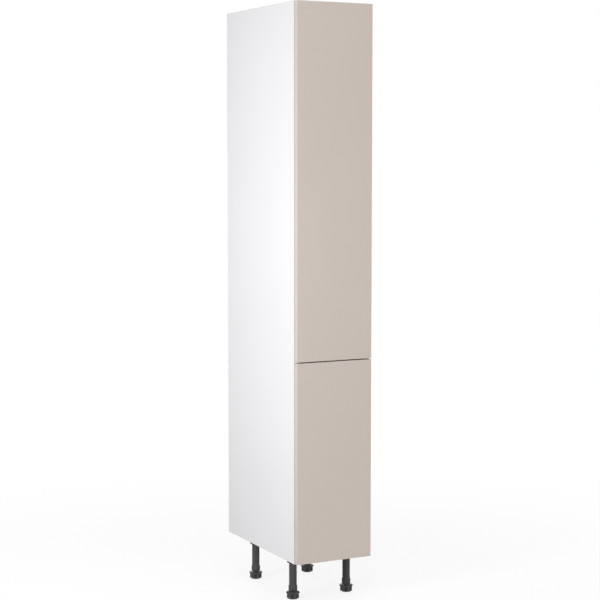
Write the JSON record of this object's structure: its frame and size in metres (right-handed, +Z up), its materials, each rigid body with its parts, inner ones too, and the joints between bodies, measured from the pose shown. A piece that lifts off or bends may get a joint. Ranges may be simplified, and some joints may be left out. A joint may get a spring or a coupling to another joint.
{
  "type": "pull out larder unit",
  "caption": "Tall narrow kitchen cabinet on screw legs with slab fronts fixed to a full height pull out frame that carries gallery shelves on ball slides.",
  "frame": {"origin": "middle of the footprint on the floor, at the foot of the pads", "axes": "+Z up, fronts face -Y, +X to the right seen from the front (the cabinet's right side as one faces it)"},
  "size_m": [0.3, 0.58, 2.12],
  "materials": {
    "board": "melamine faced board, white, fine satin texture",
    "front_matt": "lacquered board, supermatt warm grey",
    "shelf_board": "melamine faced board, white, with anti slip pattern",
    "beech": "raw beech, fluted",
    "hardware_zinc": "zinc plated, satin",
    "slide_steel": "bright zinc plated",
    "frame_graphite": "fine structure powder coat, dark grey",
    "gallery_chrome": "polished chrome",
    "leg_plastic": "moulded, dark grey",
    "socket_black": "moulded, near black",
    "pad_black": "soft, black",
    "damper_grey": "moulded, mid grey",
    "buffer_clear": "soft, milky clear"
  },
  "bodies": {
    "cabinet": {"side_panel_left": "board", "side_panel_right": "board", "top_panel": "board", "base_panel": "board", "back_panel": "board", "cam_locks": "hardware_zinc", "cam_bolts": "hardware_zinc", "wood_dowels": "beech", "wall_brackets": "hardware_zinc", "leg_sockets": "socket_black", "leg_tubes": "leg_plastic", "leg_screws": "hardware_zinc", "base_channel": "hardware_zinc", "top_bracket": "hardware_zinc", "runner_screws": "hardware_zinc", "soft_close_damper": "damper_grey", "outer_left": "hardware_zinc", "outer_right": "hardware_zinc", "outer_top": "hardware_zinc"},
    "pull_out": {"inner_left": "hardware_zinc", "inner_right": "hardware_zinc", "inner_top": "hardware_zinc", "base_carriage": "frame_graphite", "top_carriage": "frame_graphite", "post_front": "frame_graphite", "post_rear": "frame_graphite", "front_lower": "front_matt", "front_upper": "front_matt", "front_buffers": "buffer_clear", "front_brackets": "hardware_zinc", "shelf_clamps": "hardware_zinc", "frame_bolts": "hardware_zinc", "moving_screws": "hardware_zinc", "shelf_1": "shelf_board", "shelf_2": "shelf_board", "shelf_3": "shelf_board", "shelf_4": "shelf_board", "shelf_5": "shelf_board", "gallery_1": "gallery_chrome", "gallery_2": "gallery_chrome", "gallery_3": "gallery_chrome", "gallery_4": "gallery_chrome", "gallery_5": "gallery_chrome"},
    "middle_left": {"middle_left": "slide_steel"},
    "cage_a_left": {"cage_a_left": "slide_steel"},
    "cage_b_left": {"cage_b_left": "slide_steel"},
    "middle_right": {"middle_right": "slide_steel"},
    "cage_a_right": {"cage_a_right": "slide_steel"},
    "cage_b_right": {"cage_b_right": "slide_steel"},
    "middle_top": {"middle_top": "slide_steel"},
    "cage_a_top": {"cage_a_top": "slide_steel"},
    "cage_b_top": {"cage_b_top": "slide_steel"},
    "pad_front_left": {"pad_front_left": "pad_black"},
    "foot_front_left": {"foot_front_left": "leg_plastic"},
    "pad_front_right": {"pad_front_right": "pad_black"},
    "foot_front_right": {"foot_front_right": "leg_plastic"},
    "pad_rear_left": {"pad_rear_left": "pad_black"},
    "foot_rear_left": {"foot_rear_left": "leg_plastic"},
    "pad_rear_right": {"pad_rear_right": "pad_black"},
    "foot_rear_right": {"foot_rear_right": "leg_plastic"}
  },
  "joints": [
    {"name": "pull_out_slide", "type": "slide", "parent": "cabinet", "child": "pull_out", "axis": [0, -1, 0], "range_m": [0, 0.48]},
    {"name": "cage_a_left_slide", "type": "slide", "parent": "cabinet", "child": "cage_a_left", "axis": [0, -1, 0], "range_m": [0, 0.121]},
    {"name": "middle_left_slide", "type": "slide", "parent": "cabinet", "child": "middle_left", "axis": [0, -1, 0], "range_m": [0, 0.241]},
    {"name": "cage_b_left_slide", "type": "slide", "parent": "cabinet", "child": "cage_b_left", "axis": [0, -1, 0], "range_m": [0, 0.361]},
    {"name": "cage_a_right_slide", "type": "slide", "parent": "cabinet", "child": "cage_a_right", "axis": [0, -1, 0], "range_m": [0, 0.121]},
    {"name": "middle_right_slide", "type": "slide", "parent": "cabinet", "child": "middle_right", "axis": [0, -1, 0], "range_m": [0, 0.241]},
    {"name": "cage_b_right_slide", "type": "slide", "parent": "cabinet", "child": "cage_b_right", "axis": [0, -1, 0], "range_m": [0, 0.361]},
    {"name": "cage_a_top_slide", "type": "slide", "parent": "cabinet", "child": "cage_a_top", "axis": [0, -1, 0], "range_m": [0, 0.121]},
    {"name": "middle_top_slide", "type": "slide", "parent": "cabinet", "child": "middle_top", "axis": [0, -1, 0], "range_m": [0, 0.241]},
    {"name": "cage_b_top_slide", "type": "slide", "parent": "cabinet", "child": "cage_b_top", "axis": [0, -1, 0], "range_m": [0, 0.361]},
    {"name": "level_front_left", "type": "slide", "parent": "cabinet", "child": "pad_front_left", "axis": [0, 0, -1], "range_m": [-0.003, 0.025]},
    {"name": "turn_front_left", "type": "hinge", "parent": "pad_front_left", "child": "foot_front_left", "pos_m": [-0.109, -0.178, 0.03], "axis": [0, 0, -1], "range_deg": [-271, 2251]},
    {"name": "level_front_right", "type": "slide", "parent": "cabinet", "child": "pad_front_right", "axis": [0, 0, -1], "range_m": [-0.003, 0.025]},
    {"name": "turn_front_right", "type": "hinge", "parent": "pad_front_right", "child": "foot_front_right", "pos_m": [0.109, -0.178, 0.03], "axis": [0, 0, -1], "range_deg": [-271, 2251]},
    {"name": "level_rear_left", "type": "slide", "parent": "cabinet", "child": "pad_rear_left", "axis": [0, 0, -1], "range_m": [-0.003, 0.025]},
    {"name": "turn_rear_left", "type": "hinge", "parent": "pad_rear_left", "child": "foot_rear_left", "pos_m": [-0.109, 0.135, 0.03], "axis": [0, 0, -1], "range_deg": [-271, 2251]},
    {"name": "level_rear_right", "type": "slide", "parent": "cabinet", "child": "pad_rear_right", "axis": [0, 0, -1], "range_m": [-0.003, 0.025]},
    {"name": "turn_rear_right", "type": "hinge", "parent": "pad_rear_right", "child": "foot_rear_right", "pos_m": [0.109, 0.135, 0.03], "axis": [0, 0, -1], "range_deg": [-271, 2251]}
  ],
  "couplings": [
    {"joint": "cage_a_left_slide", "follows": "pull_out_slide", "ratio": 0.25},
    {"joint": "middle_left_slide", "follows": "pull_out_slide", "ratio": 0.5},
    {"joint": "cage_b_left_slide", "follows": "pull_out_slide", "ratio": 0.75},
    {"joint": "cage_a_right_slide", "follows": "pull_out_slide", "ratio": 0.25},
    {"joint": "middle_right_slide", "follows": "pull_out_slide", "ratio": 0.5},
    {"joint": "cage_b_right_slide", "follows": "pull_out_slide", "ratio": 0.75},
    {"joint": "cage_a_top_slide", "follows": "pull_out_slide", "ratio": 0.25},
    {"joint": "middle_top_slide", "follows": "pull_out_slide", "ratio": 0.5},
    {"joint": "cage_b_top_slide", "follows": "pull_out_slide", "ratio": 0.75},
    {"joint": "turn_front_left", "follows": "level_front_left", "rad_per_m": 1570.8},
    {"joint": "turn_front_right", "follows": "level_front_right", "rad_per_m": 1570.8},
    {"joint": "turn_rear_left", "follows": "level_rear_left", "rad_per_m": 1570.8},
    {"joint": "turn_rear_right", "follows": "level_rear_right", "rad_per_m": 1570.8}
  ]
}
